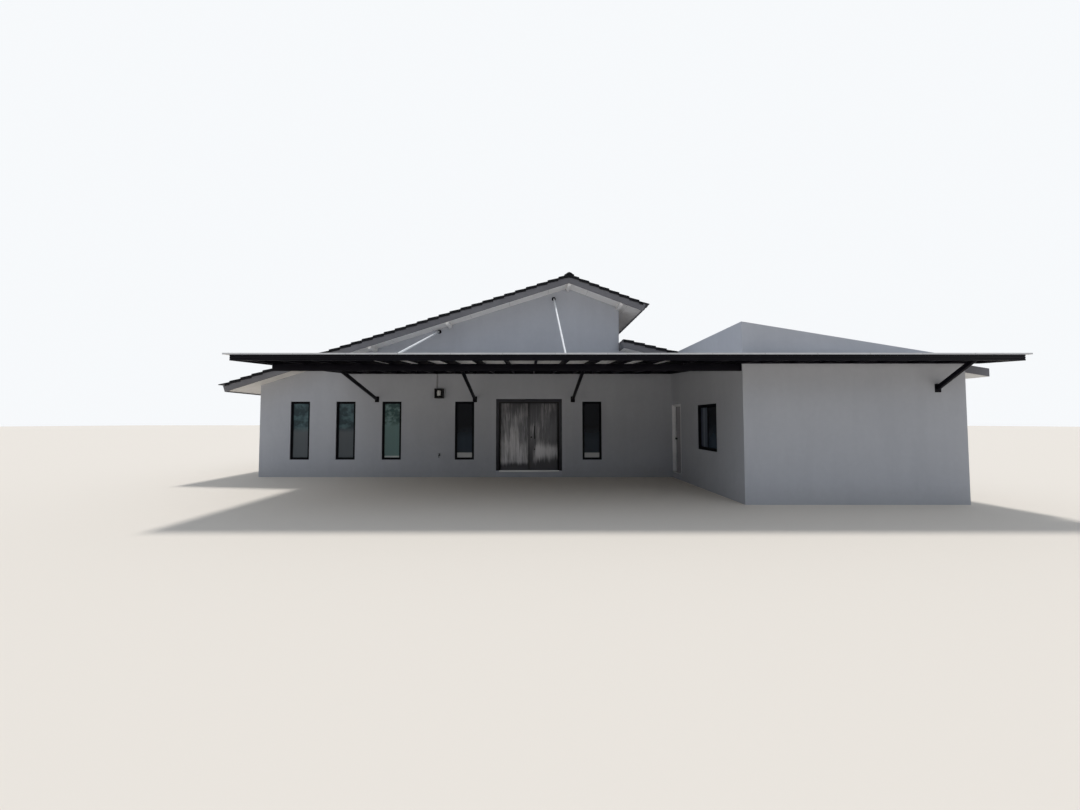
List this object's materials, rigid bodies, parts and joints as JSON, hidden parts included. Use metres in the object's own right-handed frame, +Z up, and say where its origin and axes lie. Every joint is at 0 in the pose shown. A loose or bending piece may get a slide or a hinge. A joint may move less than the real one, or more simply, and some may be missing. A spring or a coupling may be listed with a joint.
{
  "type": "bungalow",
  "caption": "Gabled single-storey house with a lower side roof, a flat-roofed annex in front, a hung steel awning over the forecourt, black windows and a dark double door.",
  "frame": {"origin": "in the middle of the main doorway, on the front wall's centre line, at the lowest ground that the walls stand on, on the underside of the floor slab", "axes": "+X right along the front as seen from outside, +Y to the back of the house, +Z up"},
  "size_m": [18.967, 15.304, 6.2488],
  "materials": {
    "wall_render": "matte painted render",
    "floor_concrete": "screeded concrete",
    "roof_tile": "matte charcoal roof tile",
    "roof_timber": "sawn timber deck",
    "verge_board": "painted fibre board, charcoal",
    "soffit_board": "painted soffit board, off-white",
    "flat_roof": "coated sheet roofing",
    "awning_steel": "black painted steel",
    "awning_sheet": "light grey sheet",
    "rod_steel": "white painted steel",
    "window_frame": "black coated aluminium",
    "window_glass": "clear glass",
    "door_frame": "dark grey coated aluminium",
    "door_leaf": "dark wood grain",
    "door_metal": "black door furniture",
    "side_frame": "light painted door frame",
    "side_leaf": "grey painted flush door",
    "lamp_metal": "black painted metal",
    "lamp_glass": "opal glass",
    "conduit": "grey plastic",
    "tap_metal": "chrome plated"
  },
  "bodies": {
    "house": {"floor_slab": "floor_concrete", "annex_floor": "floor_concrete", "front_wall_left": "wall_render", "front_wall_over_door": "wall_render", "front_wall_right": "wall_render", "party_wall": "wall_render", "back_wall": "wall_render", "left_wall": "wall_render", "right_wall": "wall_render", "clerestory_wall": "wall_render", "left_roof_deck": "roof_timber", "left_roof_tiles": "roof_tile", "upper_roof_deck": "roof_timber", "upper_roof_tiles": "roof_tile", "lower_roof_deck": "roof_timber", "lower_roof_tiles": "roof_tile", "ridge_cap": "roof_tile", "left_verge_boards": "verge_board", "upper_verge_boards": "verge_board", "lower_verge_boards": "verge_board", "eave_boards": "verge_board", "upper_soffit": "soffit_board", "lower_soffit": "soffit_board", "purlin_ends": "soffit_board", "annex_side_wall": "wall_render", "annex_wall_over_door": "wall_render", "annex_front_wall": "wall_render", "annex_right_wall": "wall_render", "annex_roof_deck": "flat_roof", "annex_coping": "wall_render", "annex_eave_box": "flat_roof", "awning_front_beam": "awning_steel", "awning_side_beams": "awning_steel", "awning_wall_beams": "awning_steel", "awning_corner_beam": "awning_steel", "awning_main_beam": "awning_steel", "awning_rafters": "awning_steel", "awning_deck": "awning_sheet", "wall_braces": "awning_steel", "brace_plates": "awning_steel", "tie_rods": "rod_steel", "tie_rod_wall_brackets": "awning_steel", "tie_rod_deck_brackets": "awning_steel", "narrow_window_frames": "window_frame", "narrow_window_glass": "window_glass", "wide_window_frames": "window_frame", "wide_window_glass": "window_glass", "main_door_frame": "door_frame", "side_door_frame": "side_frame", "wall_lamp": "lamp_metal", "lamp_glass": "lamp_glass", "lamp_conduit": "conduit", "garden_tap": "tap_metal"},
    "main_leaf_left": {"main_door_leaf_left": "door_leaf"},
    "main_leaf_right": {"main_door_leaf_right": "door_leaf", "main_door_pull": "door_metal", "main_door_lock": "door_metal"},
    "side_leaf": {"side_door_leaf": "side_leaf", "side_door_knob": "door_metal"}
  },
  "joints": [
    {"name": "main_leaf_left_hinge", "type": "hinge", "parent": "house", "child": "main_leaf_left", "pos_m": [-0.9375, 0.0833, 0.2], "axis": [0, 0, 1], "range_deg": [0, 90]},
    {"name": "main_leaf_right_hinge", "type": "hinge", "parent": "house", "child": "main_leaf_right", "pos_m": [0.9375, 0.0833, 0.2], "axis": [0, 0, -1], "range_deg": [0, 90]},
    {"name": "side_leaf_hinge", "type": "hinge", "parent": "house", "child": "side_leaf", "pos_m": [4.6383, -0.7775, 0.2], "axis": [0, 0, -1], "range_deg": [0, 90]}
  ]
}
